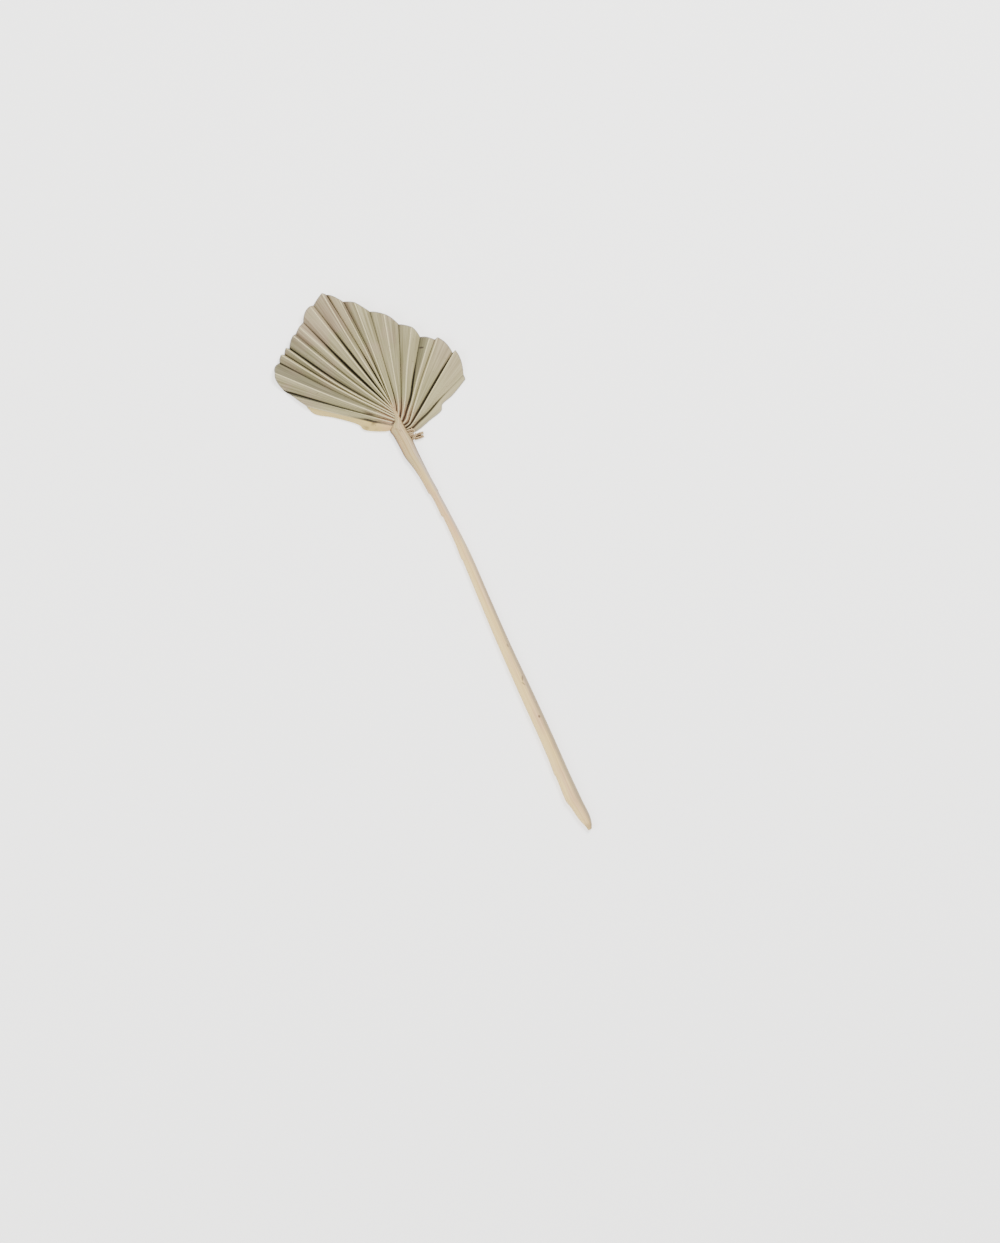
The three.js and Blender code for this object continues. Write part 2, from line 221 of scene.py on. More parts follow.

# The frayed stub: rolled ends of torn segments, each with its radius at root and tip, how far it is rolled,
# in degrees either way, and its path. Those that are only half rolled lie below the others, painted dark
# inside, so that they show as painted shade between the loops.
CLOSED = 165
ROLLS = [
    Roll(2.4, 2.0, 70, [(5.2, -10.8, 0.7), (5, -14.5, 0.7), (4.2, -19.2, 0.7)]),
    Roll(1.0, 0.8, CLOSED, [(3, -12.2, 2.4), (5.4, -12.5, 3.2), (7.8, -13.3, 2.8), (7.4, -14.7, 1.9)]),
    Roll(0.9, 0.7, CLOSED, [(3, -14.5, 2.2), (5, -14.8, 2.6), (6.4, -15.6, 2)]),
    Roll(0.9, 0.7, CLOSED, [(2.8, -16.8, 1.9), (4.8, -16.5, 2.4), (6.2, -17.2, 2), (5, -18.4, 1.3)]),
    Roll(0.9, 0.8, CLOSED, [(2.6, -19.9, 1.1), (5.6, -18.9, 2.2), (8.8, -16.7, 2.4)]),
    Roll(1.3, 0.8, 90, [(6, -18.9, 0.7), (9, -19.3, 0.9), (12, -19.9, 1.3)]),
    Roll(0.9, 1.0, CLOSED, [(6.8, -17.9, 1.6), (9.4, -17.9, 2.2), (11.8, -18.2, 2.4), (14.3, -18.9, 2.2)]),
    Roll(0.9, 1.0, CLOSED, [(5.6, -19.9, 0.9), (8.6, -20.7, 1.4), (11, -21, 1.8), (13.4, -21.2, 1.8)]),
]
ROLL_ROWS = 20
ROLL_COLUMNS = 16

# A closed roll gets painted shade round its two flanks, and a half-rolled end painted shade inside, over
# these turns in radians. The rolls read their fibres FIBRE_SHIFT millimetres apart, so that no two look
# alike.
FLANK_SHADE = 0.8
SHADE_SPREAD = 0.5
INSIDE_TURN = 1.0
FIBRE_SHIFT = 40

# Creases of this many degrees and more stay sharp: in the blade, and in the stub and the stem
SHARP_FOLD = 35
SHARP_EDGE = 40

# Colours of the finer markings, beside the main ones that the panel offers. A paint lies over other
# colours, and the share after its own colour says how well it covers them.
GREEN_COVER = 0.85
FLAP_CREAM = Paint("#efce78", 0.9)
FLAP_PEACH = Paint("#f0c184", 0.8)
VEIN_DARK = "#5f583f"
VEIN_LIGHT = "#b4ad89"
VEIN_COVER = 0.5
FLAP_VEIN_COVER = 0.3
# Painted light and shade: facets facing the light are painted lighter and those turned from it darker
LIT_FACET = Paint("#bcb086", 0.8)
SHADED_FACET = Paint("#413f30", 0.9)
HUB_TAN = Paint("#aa8867", 0.9)
# Dark brown of the hub, also used for the painted shade in the gaps and wrinkles near it
HUB_BROWN = "#4f3a2c"
CRUMPLE_BROWN = Paint(HUB_BROWN, 0.4)
# Painted shade in the troughs of the wrinkles near the hub
WRINKLE_SHADE = Paint(HUB_BROWN, 0.85)
# Painted highlight along the ridges
RIDGE_HIGHLIGHT = Paint("#d6ca9e", 0.85)
RIM_GREY = Paint("#8d857a", 0.6)
# Painted shade in the dark gaps of the valleys: how well it covers, where narrow, and near the hub
GAP_COVER = 0.95
NARROW_GAP_COVER = 0.3
HUB_GAP_COVER = 0.85
SPECK_BROWN = Paint("#5c4e3a", 0.6)
TORN_TAN = "#967a5c"
TORN_CREAM = "#d2b98e"
TORN_TIP_CREAM = Paint(TORN_CREAM, 0.6)
# Painted shade round the rolls' flanks and inside the half-rolled ends
TORN_SHADE = Paint("#43312a", 1.0)
STEM_PINK = "#e2b37f"
STEM_TAN = Paint("#957a50", 0.85)
STEM_OLIVE = Paint("#9c9562", 0.6)
STEM_PEACH = Paint("#d09f6c", 0.6)
GRAIN_DARK = "#a1865c"
GRAIN_LIGHT = "#fbe3b0"
GRAIN_COVER = 0.32
STEM_PALE = Paint("#ffde8f", 0.7)
STEM_GREY = Paint("#918167", 0.9)
STEM_EDGE_GREY = Paint("#918167", 0.7)
STEM_LILAC = Paint("#a2968b", 0.75)
STEM_EDGE_BROWN = Paint(HUB_BROWN, 0.8)
STEM_SPECK_BROWN = Paint(HUB_BROWN, 0.5)
CUT_BROWN = Paint("#a0865e", 0.5)

# Patterns of soft noise: the size of their patches in millimetres, how broken up they are, and the levels
# of the noise at which the colour sets in and is full. The grain, like the veins, is about twice as coarse
# as the real one, so that it shows.
BLUSH_PATCHES = Pattern(22.0, 3.0, 0.42, 0.6)
CRUMPLES = Pattern(2.4, 2.0, 0.5, 0.66)
WRINKLES = Pattern((3.2, 14.0, 1.0), 1.0, 0.53, 0.62)
BLADE_SPECKS = Pattern(2.2, 1.0, 0.74, 0.79)
TORN_FIBRES = Pattern((0.6, 9.0, 1.0), 3.0, 0.35, 0.65)
PINK_PATCHES = Pattern((9.0, 34.0, 9.0), 3.0, 0.44, 0.62)
STEM_SPECKS = Pattern(1.8, 1.0, 0.6, 0.7)
OLIVE_MOTTLE = Pattern((4.5, 16.0, 4.5), 3.0, 0.46, 0.32)
PEACH_MOTTLE = Pattern((4.5, 16.0, 4.5), 3.0, 0.52, 0.66)
VEIN_LENGTH = 55.0
VEIN_DETAIL = 4.0
VEIN_LEVELS = (0.32, 0.68)
GRAIN_SIZE = (0.9, 60.0, 1.0)
GRAIN_DETAIL = 4.0
GRAIN_LEVELS = (0.3, 0.7)

# The hub's middle on the blade and on the stem, and where a colour sets in and where it is full, in
# millimetres from there
BLADE_HUB = (0, 0, 4)
STEM_HUB = (1, 4, 4)
GREEN_REACH = (85, 25)
FLAP_ROOT_REACH = (20, 8)
HUB_TAN_REACH = (22, 5)
HUB_GAP_REACH = (20, 10)
BROWN_GAP_REACH = (22, 8)
STEM_TAN_REACH = (100, 10)
STEM_SPECK_REACH = (20, 8)
LOWER_STEM_REACH = (40, 180)
LILAC_FROM = (16, 40)
LILAC_TO = (160, 80)

# The same in millimetres from the middle of the painted wrinkle shade, from a ridge's painted highlight,
# from the rim, into a gap of painted shade and from the tip of a torn end. A gap whose half width is
# WIDE_GAPE or more is painted fully dark.
WRINKLED_AT = (-13, 7, 5)
WRINKLE_REACH = (17, 7)
RIDGE_LINE = (0.55, 0.15)
RIM_BAND = (1.4, 0.3)
GAP_SIDE = (-0.7, 0.2)
TORN_TIP = (3.5, 0.5)
WIDE_GAPE = 0.7

# The same across the stem, from -1 at its left edge to 1 at its right edge, and along its cut end
PALE_SIDE = (0, -0.6)
GREY_SIDE = (0.15, 0.75)
LILAC_SIDE = (0.2, 0.75)
LEFT_EDGE = (-0.88, -1.0)
EDGE_LINE = (0.76, 0.92)
CUT_END = (0.5, 1.0)

# Single marks: the paint of each, its place, its half size and its turn. They fade out from MARK_CORE of
# their size to all of it.
MARK_CORE = 0.4
# Painted shade in the nook where the blade's roots meet the stem
NOOK_SHADE = Mark(Paint("#46332b", 0.85), (-3.6, -0.9, 5), (3.2, 1.3, 20), 22)
BLADE_BLEMISH = Mark(Paint("#382e25", 0.9), (43.4, 42.1, 8), (2.8, 1.1, 20), -24)
KNOT_BROWN = "#5a4837"
STEM_KNOTS = [
    Mark(Paint(KNOT_BROWN, 0.6), (-3.1, -200.8, 5), (0.8, 2.2, 20), 0),
    Mark(Paint(KNOT_BROWN, 0.7), (-4.4, -229.4, 5), (0.9, 3.2, 20), -20),
    Mark(Paint(KNOT_BROWN, 0.6), (-5.6, -233.6, 5), (0.8, 2.6, 20), 25),
    Mark(Paint(KNOT_BROWN, 0.8), (-6.3, -262.6, 5), (1.3, 1.7, 20), 0),
]

# Gloss of each material, and how far its veins or grain stand out, in millimetres
BLADE_FINISH = Finish(0.7, 0.3, 0.25)
TORN_FINISH = Finish(0.8, 0.25, 0)
STEM_FINISH = Finish(0.55, 0.35, 0.3)
RELIEF_STRENGTH = 0.5

# The camera looks straight down on VIEW_CENTRE and sees VIEW_HEIGHT of the floor from the picture's foot
# to its top. The place of each light is to the picture's right, up it and above the floor, in metres from
# the origin.
VIEW_HEIGHT = 994.4 * MM
VIEW_CENTRE = (0.2, -181.0)
VIEW_TURN = -27.0
LENS = 85.0
SENSOR = 36.0
FARTHEST_SEEN = 20
LIGHTS = [
    Light("key", 0.8, 1.3, 1.9, 0.8, 82),
    Light("fill", -1.3, -0.3, 1.3, 1.2, 20),
]
ROOM_LIGHT = 0.8
FLOOR_SIZE = 14.0
FLOOR_ROUGHNESS = 0.9
FLOOR_GLOW = 1.5


def linear(hex_colour):
    """sRGB hex colour as linear RGBA."""
    channels = [int(hex_colour[i:i + 2], 16) / 255 for i in (1, 3, 5)]
    return [c / 12.92 if c <= 0.04045 else ((c + 0.055) / 1.055) ** 2.4 for c in channels] + [1.0]


class PalmLeafSizes(bpy.types.PropertyGroup):
    """Sizes of the leaf that a maker may want to change."""

    blade_thickness: bpy.props.FloatProperty(
        name="Blade thickness", description="Thickness of the dried leaf skin",
        default=0.45 * MM, min=0.2 * MM, max=1.0 * MM, unit="LENGTH", precision=5)
    vein_spacing: bpy.props.FloatProperty(
        name="Vein spacing",
        description="Distance between veins at the cut edge, about twice the real one so that they show",
        default=1.6 * MM, min=0.5 * MM, max=4 * MM, unit="LENGTH", precision=5)
    crown: bpy.props.FloatProperty(
        name="Crown of the facets", description="How much steeper a facet is beside its valley",
        default=0.15, min=0.0, max=0.9, subtype="FACTOR")
    wobble: bpy.props.FloatProperty(
        name="Wobble", description="Height of the slow waves in the dried blade",
        default=0.4 * MM, min=0.0, max=1.5 * MM, unit="LENGTH", precision=5)


class PalmLeafColours(bpy.types.PropertyGroup):
    """Colours of the dried leaf and of the stage."""

    sage: bpy.props.FloatVectorProperty(
        name="Sage", description="Main colour of the blade", subtype="COLOR", size=4,
        default=linear("#958b63"), min=0, max=1)
    blush: bpy.props.FloatVectorProperty(
        name="Blush", description="Pinkish tan of the patches on the blade", subtype="COLOR", size=4,
        default=linear("#a38a72"), min=0, max=1)
    green: bpy.props.FloatVectorProperty(
        name="Faded green", description="Yellowish green left round the hub", subtype="COLOR", size=4,
        default=linear("#999261"), min=0, max=1)
    # Painted shade in the dark gaps along the valleys
    crease_shade: bpy.props.FloatVectorProperty(
        name="Crease", description="Dark brown inside the folds", subtype="COLOR", size=4,
        default=linear("#332b1b"), min=0, max=1)
    straw: bpy.props.FloatVectorProperty(
        name="Straw", description="Main colour of the stem", subtype="COLOR", size=4,
        default=linear("#eec97a"), min=0, max=1)
    floor: bpy.props.FloatVectorProperty(
        name="Floor", description="Colour of the surface that the leaf lies on", subtype="COLOR", size=4,
        default=linear("#f6f5f3"), min=0, max=1)


def smooth_path(points, steps):
    """Points at equal distances on a centripetal Catmull-Rom curve through the given ones."""
    given = np.array(points, float)
    padded = np.vstack([2 * given[0] - given[1], given, 2 * given[-1] - given[-2]])
    dense = [given[0]]
    for i in range(1, len(padded) - 2):
        p0, p1, p2, p3 = padded[i - 1:i + 3]
        d0, d1, d2 = (np.linalg.norm(b - a) ** 0.5 for a, b in ((p0, p1), (p1, p2), (p2, p3)))
        start = ((p1 - p0) / d0 - (p2 - p0) / (d0 + d1) + (p2 - p1) / d1) * d1
        end = ((p2 - p1) / d1 - (p3 - p1) / (d1 + d2) + (p3 - p2) / d2) * d1
        for t in np.linspace(0, 1, CURVE_STEPS + 1)[1:]:
            dense.append(
                p1 + start * t + (3 * (p2 - p1) - 2 * start - end) * t ** 2
                + (start + end - 2 * (p2 - p1)) * t ** 3)
    dense = np.array(dense)
    run = np.concatenate([[0], np.cumsum(np.linalg.norm(np.diff(dense, axis=0), axis=1))])
    wanted = np.linspace(0, run[-1], steps + 1)
    return np.stack([np.interp(wanted, run, dense[:, axis]) for axis in range(dense.shape[1])], axis=1)


def stem_measure(key, y):
    """One measure of the stem at y, on a smooth curve through its sections."""
    ys = [section.y for section in STEM]
    values = [getattr(section, key) for section in STEM]
    last = len(STEM) - 1
    index = min(max(int(np.searchsorted(ys, y, side="right")), 1), last)

    def slope(i):
        low, high = max(i - 1, 0), min(i + 1, last)
        return (values[high] - values[low]) / (ys[high] - ys[low])

    span = ys[index] - ys[index - 1]
    t = min(max((y - ys[index - 1]) / span, 0), 1)
    rise = values[index] - values[index - 1]
    start, end = slope(index - 1) * span, slope(index) * span
    return (values[index - 1] + t * start + t * t * (3 * rise - 2 * start - end)
            + t ** 3 * (start + end - 2 * rise))


def notch_width(side, y):
    """How much wider the stem is at y on one side because of the steps in its edges."""
    return sum(notch.depth * (1 - (y - notch.y) / NOTCH_LENGTH) for notch in NOTCHES
               if notch.side == side and 0 <= y - notch.y < NOTCH_LENGTH)


def deselect_all():
    """Leaves no object selected."""
    if bpy.context.object and bpy.context.object.mode != "OBJECT":
        bpy.ops.object.mode_set(mode="OBJECT")
    bpy.ops.object.select_all(action="DESELECT")


def select_only(piece):
    """Leaves one piece selected, and active."""
    deselect_all()
    piece.select_set(True)
    bpy.context.view_layer.objects.active = piece


def add_grid(name, columns, rows):
    """A flat grid of the given number of cells, and each of its points as a column and a row number."""
    deselect_all()
    bpy.ops.mesh.primitive_grid_add(x_subdivisions=columns, y_subdivisions=rows, size=2)
    piece = bpy.context.object
    piece.name = name
    piece.data.name = name
    flat = np.zeros(len(piece.data.vertices) * 3)
    piece.data.vertices.foreach_get("co", flat)
    flat = flat.reshape(-1, 3)
    column = np.rint((flat[:, 0] + 1) / 2 * columns).astype(int)
    row = np.rint((flat[:, 1] + 1) / 2 * rows).astype(int)
    return piece, column, row


def from_the_hub(place):
    """A place given in millimetres round the hub, in metres in the frame."""
    return [(p + h) * MM for p, h in zip(place, HUB)]


def place_points(piece, points):
    """Puts the piece's vertices at points given in millimetres round the hub."""
    placed = (np.asarray(points, float) + HUB) * MM
    piece.data.vertices.foreach_set("co", placed.ravel())
    piece.data.update()


def add_map(piece, name, values):
    """A UV map from one pair of numbers for each vertex."""
    layer = piece.data.uv_layers.new(name=name)
    corners = np.zeros(len(piece.data.loops), int)
    piece.data.loops.foreach_get("vertex_index", corners)
    layer.data.foreach_set("uv", np.asarray(values, float)[corners].ravel())


def thicken(piece, thickness):
    """Gives a sheet the thickness of the leaf skin, half to each side."""
    select_only(piece)
    wall = piece.modifiers.new("Wall", "SOLIDIFY")
    wall.thickness = thickness
    wall.offset = 0
    bpy.ops.object.modifier_apply(modifier=wall.name)


def close_tube(piece):
    """Joins the two long edges of a rolled grid, closes its ends and points its faces outwards."""
    select_only(piece)
    bpy.ops.object.mode_set(mode="EDIT")
    bpy.ops.mesh.select_all(action="SELECT")
    bpy.ops.mesh.remove_doubles(threshold=WELD)
    bpy.ops.mesh.select_all(action="DESELECT")
    bpy.ops.mesh.select_mode(type="EDGE")
    bpy.ops.mesh.select_non_manifold()
    bpy.ops.mesh.fill_holes(sides=0)
    bpy.ops.mesh.select_all(action="SELECT")
    bpy.ops.mesh.normals_make_consistent(inside=False)
    bpy.ops.object.mode_set(mode="OBJECT")


def finish_piece(piece, material, angle, replaced):
    """Gives a piece its material and smooth shading, and ties it to the part."""
    select_only(piece)
    piece.data.materials.append(material)
    bpy.ops.object.shade_smooth_by_angle(angle=math.radians(angle))
    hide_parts(replaced)
    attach(piece, "root")


def root_height(fold):
    """Height at which a fold leaves the stem."""
    share = np.interp(fold.root, *ROOT_SHARES[fold.side])
    step = ROOT_STEP if fold.kind == "ridge" else -ROOT_STEP
    return max(stem_measure("crest", fold.root) * share + step, LOWEST_SKIN)


def fold_line(fold):
    """The fold as points from inside the stem to the cut edge."""
    inwards = ROOT_OVERLAP if fold.side == "left" else -ROOT_OVERLAP
    corners = [(stem_measure(fold.side, fold.root) + inwards, fold.root)] + fold.path
    runs = [0.0]
    for a, b in zip(corners, corners[1:]):
        runs.append(runs[-1] + math.dist(a, b))
    low = root_height(fold)
    points = [(x, y, low + (fold.rise - low) * run / runs[-1]) for (x, y), run in zip(corners, runs)]
    return smooth_path(points, BLADE_ROWS)


def facet_columns(lines):
    """Where each column of points lies: its facet and the share of the width, denser at the folds."""
    columns = []
    for facet in range(LAST_FACET + 1):
        width = math.dist(lines[facet][-1, :2], lines[facet + 1][-1, :2])
        steps = max(FEWEST_COLUMNS, round(width / COLUMN_STEP))
        for step in range(steps):
            even = step / steps
            crowding = COLUMN_CROWDING * math.sin(2 * math.pi * even) / (2 * math.pi)
            columns.append((facet, even - crowding))
    columns.append((LAST_FACET, 1.0))
    return columns


def hump(t):
    """Rises from 0 to 1 halfway and falls back to 0."""
    return 4 * t * (1 - t)


def bell(distance, spread):
    """Falls from 1 at no distance to nearly nothing past twice the spread."""
    return np.exp(-(distance / spread) ** 2)


def facet_climb(first, second, across, crown):
    """Share of the climb from a facet's first fold to its second, steeper beside a valley."""
    bend = crown * across * (1 - across)
    if first.kind == "valley":
        return across + bend
    if second.kind == "valley":
        return across - bend
    return across


def outward_between(a, b):
    """Level direction out of the fan, midway between two fold lines."""
    ends = [line[-1, :2] - line[-2, :2] for line in (a, b)]
    mean = sum(end / np.linalg.norm(end) for end in ends)
    return np.append(mean / np.linalg.norm(mean), 0)


def blade_column(lines, facet, across, crown, wobble):
    """Points of one column, and its distances in millimetres from the dark fold and from the ridge."""
    first, second = FOLDS[facet], FOLDS[facet + 1]
    a, b = lines[facet], lines[facet + 1]
    along = np.linspace(0, 1, BLADE_ROWS + 1)
    width = np.linalg.norm((b - a)[:, :2], axis=1)

    points = a + (b - a) * across
    points[:, 2] = a[:, 2] + (b[:, 2] - a[:, 2]) * facet_climb(first, second, across, crown)
    bow = hump(across) * first.bulge
    points += outward_between(a, b) * (bow * along ** BULGE_POWER)[:, None]
    sideways = 2 * (facet + across) / (LAST_FACET + 1) - 1
    points[:, 2] += ARCH * (1 - sideways ** 2) * hump(along)

    dark = first if sum(first.gape) >= sum(second.gape) else second
    from_dark = (across if dark is first else 1 - across) * width
    gape = np.interp(along, np.linspace(0, 1, len(dark.gape)), dark.gape)
    points[:, 2] -= GAP_DEPTH * gape * bell(from_dark, GAP_SPREAD)

    from_ridge = np.full(len(along), FAR_FROM_RIDGE)
    if first.kind == "ridge":
        from_ridge = across * width
    elif second.kind == "ridge":
        from_ridge = (1 - across) * width
    points[:, 2] += RIB_HEIGHT * bell(from_ridge, RIB_WIDTH)

    for row in range(BLADE_ROWS + 1):
        place = Vector((points[row, 0] / WAVE_LENGTH, points[row, 1] / WAVE_LENGTH, 0.0))
        points[row, 2] += wobble * noise.noise(place) * min(along[row] / WAVES_FULL_AT, 1)
    points[:, 2] = np.maximum(points[:, 2], LOWEST_SKIN)
    return points, from_dark, gape, from_ridge


def blade_layout(crown, wobble):
    """Points of the pleated blade by column and row, and what its material needs to know at each."""
    lines = [fold_line(fold) for fold in FOLDS]
    columns = facet_columns(lines)
    along = np.linspace(0, 1, BLADE_ROWS + 1)
    shape = (len(columns), BLADE_ROWS + 1)
    points = np.zeros(shape + (3,))
    veins, crease_shade, edge, tone = (np.zeros(shape + (2,)) for _ in range(4))
    rim_run = 0.0
    for number, (facet, across) in enumerate(columns):
        points[number], from_dark, gape, from_ridge = blade_column(lines, facet, across, crown, wobble)
        if number:
            rim_run += math.dist(points[number, -1, :2], points[number - 1, -1, :2])
        length = math.dist(lines[facet][0], lines[facet][-1])
        # Painted light or shade of the facet, and painted shade on the side of a valley turned from the
        # light
        lightness = FOLDS[facet].tone * np.clip(along / TONE_FULL_AT, TONE_AT_HUB, 1)
        if FOLDS[facet].kind == "valley":
            shade = LEE_SHADE * math.exp(-across / LEE_REACH)
            lightness = lightness - shade * np.clip(along / LEE_FULL_AT, LEE_AT_HUB, 1)
        from_rim = (1 - along) * length
        if facet == LAST_FACET:
            last_width = np.linalg.norm((lines[-1] - lines[-2])[:, :2], axis=1)
            from_rim = np.minimum(from_rim, (1 - across) * last_width)
        veins[number] = np.stack([np.full(len(along), rim_run), along * length], axis=1) * MM
        crease_shade[number] = np.stack([from_dark, gape], axis=1)
        edge[number] = np.stack([from_rim, from_ridge], axis=1)
        tone[number] = np.stack([lightness, np.full(len(along), facet == FLAP_FACET)], axis=1)
    return points, {"veins": veins, "crease_shade": crease_shade, "edge": edge, "tone": tone}


def add_node(tree, kind, inputs=None, **settings):
    """Adds a node with its settings. An input given as a socket is linked, and any other sets its value."""
    made = tree.nodes.new(kind)
    for name, value in settings.items():
        setattr(made, name, value)
    for socket, value in (inputs or {}).items():
        if isinstance(value, bpy.types.NodeSocket):
            tree.links.new(value, made.inputs[socket])
        else:
            made.inputs[socket].default_value = value
    return made


def new_material(name):
    """An empty node material with its shader, and its tree."""
    made = bpy.data.materials.new(name)
    made.use_nodes = True
    tree = made.node_tree
    tree.nodes.clear()
    shader = add_node(tree, "ShaderNodeBsdfPrincipled")
    output = add_node(tree, "ShaderNodeOutputMaterial")
    tree.links.new(shader.outputs[0], output.inputs[0])
    return made, tree, shader


def mixed(tree, share, low, high):
    """Colour between two, by a share. Either may be given as a hex colour."""
    low, high = (linear(colour) if isinstance(colour, str) else colour for colour in (low, high))
    return add_node(tree, "ShaderNodeMix", {0: share, 6: low, 7: high}, data_type="RGBA").outputs[2]


def ranged(tree, value, start, end, low=0.0, high=1.0, shape="SMOOTHSTEP"):
    """Value brought from one range to another."""
    made = add_node(tree, "ShaderNodeMapRange", {0: value, 1: start, 2: end, 3: low, 4: high},
                    interpolation_type=shape)
    return made.outputs[0]


def worked_out(tree, operation, *numbers):
    """Result of one sum, such as MULTIPLY, on the given numbers."""
    return add_node(tree, "ShaderNodeMath", dict(enumerate(numbers)), operation=operation).outputs[0]


def product(tree, a, b):
    """Product of two numbers."""
    return worked_out(tree, "MULTIPLY", a, b)


def painted(tree, base, paint, share):
    """The base colour with a paint over it, by a share of the paint's cover."""
    return mixed(tree, product(tree, share, paint.cover), base, paint.colour)


def parts_of(tree, map_name):
    """The two numbers of one of the piece's own maps, after the map itself."""
    read = add_node(tree, "ShaderNodeUVMap", uv_map=map_name).outputs[0]
    split = add_node(tree, "ShaderNodeSeparateXYZ", {0: read})
    return read, split.outputs[0], split.outputs[1]


def patches(tree, vector, size, detail):
    """Soft noise with patches of the given size in millimetres, or of three sizes if it is stretched."""
    sizes = size if isinstance(size, tuple) else (size, size, size)
    stretched = add_node(tree, "ShaderNodeMapping", {0: vector, 3: [1 / (s * MM) for s in sizes]})
    made = add_node(tree, "ShaderNodeTexNoise", {
        "Vector": stretched.outputs[0], "Scale": 1.0, "Detail": detail,
    })
    return made.outputs[0]


def patterned(tree, vector, pattern):
    """How much of a pattern's colour shows, from 0 to 1."""
    level = patches(tree, vector, pattern.size, pattern.detail)
    return ranged(tree, level, pattern.start, pattern.end)


def distance_from(tree, vector, place):
    """Distance in millimetres from a place round the hub."""
    metres = add_node(tree, "ShaderNodeVectorMath", {
        0: vector, 1: from_the_hub(place),
    }, operation="DISTANCE").outputs[1]
    return worked_out(tree, "DIVIDE", metres, MM)


def marked(tree, vector, mark, base):
    """The base colour with one small mark on it."""
    away = add_node(tree, "ShaderNodeMapping", {
        0: vector,
        1: from_the_hub(mark.place),
        2: (0, 0, math.radians(mark.turn)),
        3: [s * MM for s in mark.size],
    }, vector_type="TEXTURE")
    far = add_node(tree, "ShaderNodeVectorMath", {0: away.outputs[0]}, operation="LENGTH")
    return painted(tree, base, mark.paint, ranged(tree, far.outputs[1], 1, MARK_CORE))


def finish_material(tree, shader, base, finish, height=None):
    """Gives the shader its colour and gloss, and the relief of the veins or grain if it has any."""
    tree.links.new(base, shader.inputs["Base Color"])
    shader.inputs["Roughness"].default_value = finish.roughness
    shader.inputs["Specular IOR Level"].default_value = finish.specular
    if height:
        relief = add_node(tree, "ShaderNodeBump", {
            "Height": height, "Strength": RELIEF_STRENGTH, "Distance": finish.relief * MM,
        })
        tree.links.new(relief.outputs[0], shader.inputs["Normal"])


def dried_blade_material(sizes, colours):
    """Air-dried palm leaf skin: matt, faded and finely veined, so it looks like ribbed kraft paper."""
    made, tree, shader = new_material("dried palm leaf skin")
    place = add_node(tree, "ShaderNodeTexCoord").outputs["Object"]
    vein_place = parts_of(tree, "veins")[0]
    _, from_dark, gape = parts_of(tree, "crease_shade")
    _, from_edge, from_ridge = parts_of(tree, "edge")
    _, tone, cream = parts_of(tree, "tone")
    from_hub = distance_from(tree, place, BLADE_HUB)

    # Faded skin, sage with pinkish patches: greener round the hub, and cream to peach on the flap
    base = mixed(tree, patterned(tree, place, BLUSH_PATCHES), colours.sage, colours.blush)
    base = mixed(tree, ranged(tree, from_hub, *GREEN_REACH, 0, GREEN_COVER), base, colours.green)
    base = painted(tree, base, FLAP_CREAM, cream)
    flap_root = product(tree, cream, ranged(tree, from_hub, *FLAP_ROOT_REACH))
    base = painted(tree, base, FLAP_PEACH, flap_root)

    # Veins, fainter on the flap, and the painted light or shade of each facet, with painted shade beside
    # its valley
    veins = patches(tree, vein_place, (sizes.vein_spacing / MM, VEIN_LENGTH, 1.0), VEIN_DETAIL)
    vein_colour = mixed(tree, ranged(tree, veins, *VEIN_LEVELS), VEIN_DARK, VEIN_LIGHT)
    vein_share = ranged(tree, cream, 0, 1, VEIN_COVER, FLAP_VEIN_COVER, "LINEAR")
    base = mixed(tree, vein_share, base, vein_colour)
    base = painted(tree, base, LIT_FACET, ranged(tree, tone, 0, 1, shape="LINEAR"))
    base = painted(tree, base, SHADED_FACET, ranged(tree, tone, 0, -1, shape="LINEAR"))

    # Browned skin at the hub, and painted shade of wrinkles, which are not modelled, where the left folds
    # crowd together
    hub_share = product(tree, ranged(tree, from_hub, *HUB_TAN_REACH), ranged(tree, cream, 1, 0))
    base = painted(tree, base, HUB_TAN, hub_share)
    base = painted(tree, base, CRUMPLE_BROWN, product(tree, hub_share, patterned(tree, place, CRUMPLES)))
    wrinkled = ranged(tree, distance_from(tree, place, WRINKLED_AT), *WRINKLE_REACH)
    wrinkled = product(tree, wrinkled, patterned(tree, vein_place, WRINKLES))
    base = painted(tree, base, WRINKLE_SHADE, wrinkled)

    # Painted highlights along the ridges, the worn rim, and painted shade in the dark gaps of the valleys,
    # fainter where narrow except at the hub
    base = painted(tree, base, RIDGE_HIGHLIGHT, ranged(tree, from_ridge, *RIDGE_LINE))
    base = painted(tree, base, RIM_GREY, ranged(tree, from_edge, *RIM_BAND))
    depth = worked_out(
        tree, "MAXIMUM",
        ranged(tree, gape, 0, WIDE_GAPE, NARROW_GAP_COVER, 1, "LINEAR"),
        ranged(tree, from_hub, *HUB_GAP_REACH, 0, HUB_GAP_COVER))
    into_gap = worked_out(tree, "SUBTRACT", gape, from_dark)
    gap_share = product(tree, ranged(tree, into_gap, *GAP_SIDE, 0, GAP_COVER), depth)
    gap_colour = mixed(tree, ranged(tree, from_hub, *BROWN_GAP_REACH), colours.crease_shade, HUB_BROWN)
    base = mixed(tree, gap_share, base, gap_colour)

    # Specks, a blemish and the painted shade in the nook
    base = painted(tree, base, SPECK_BROWN, patterned(tree, place, BLADE_SPECKS))
    for mark in (NOOK_SHADE, BLADE_BLEMISH):
        base = marked(tree, place, mark, base)
    finish_material(tree, shader, base, BLADE_FINISH, veins)
    return made


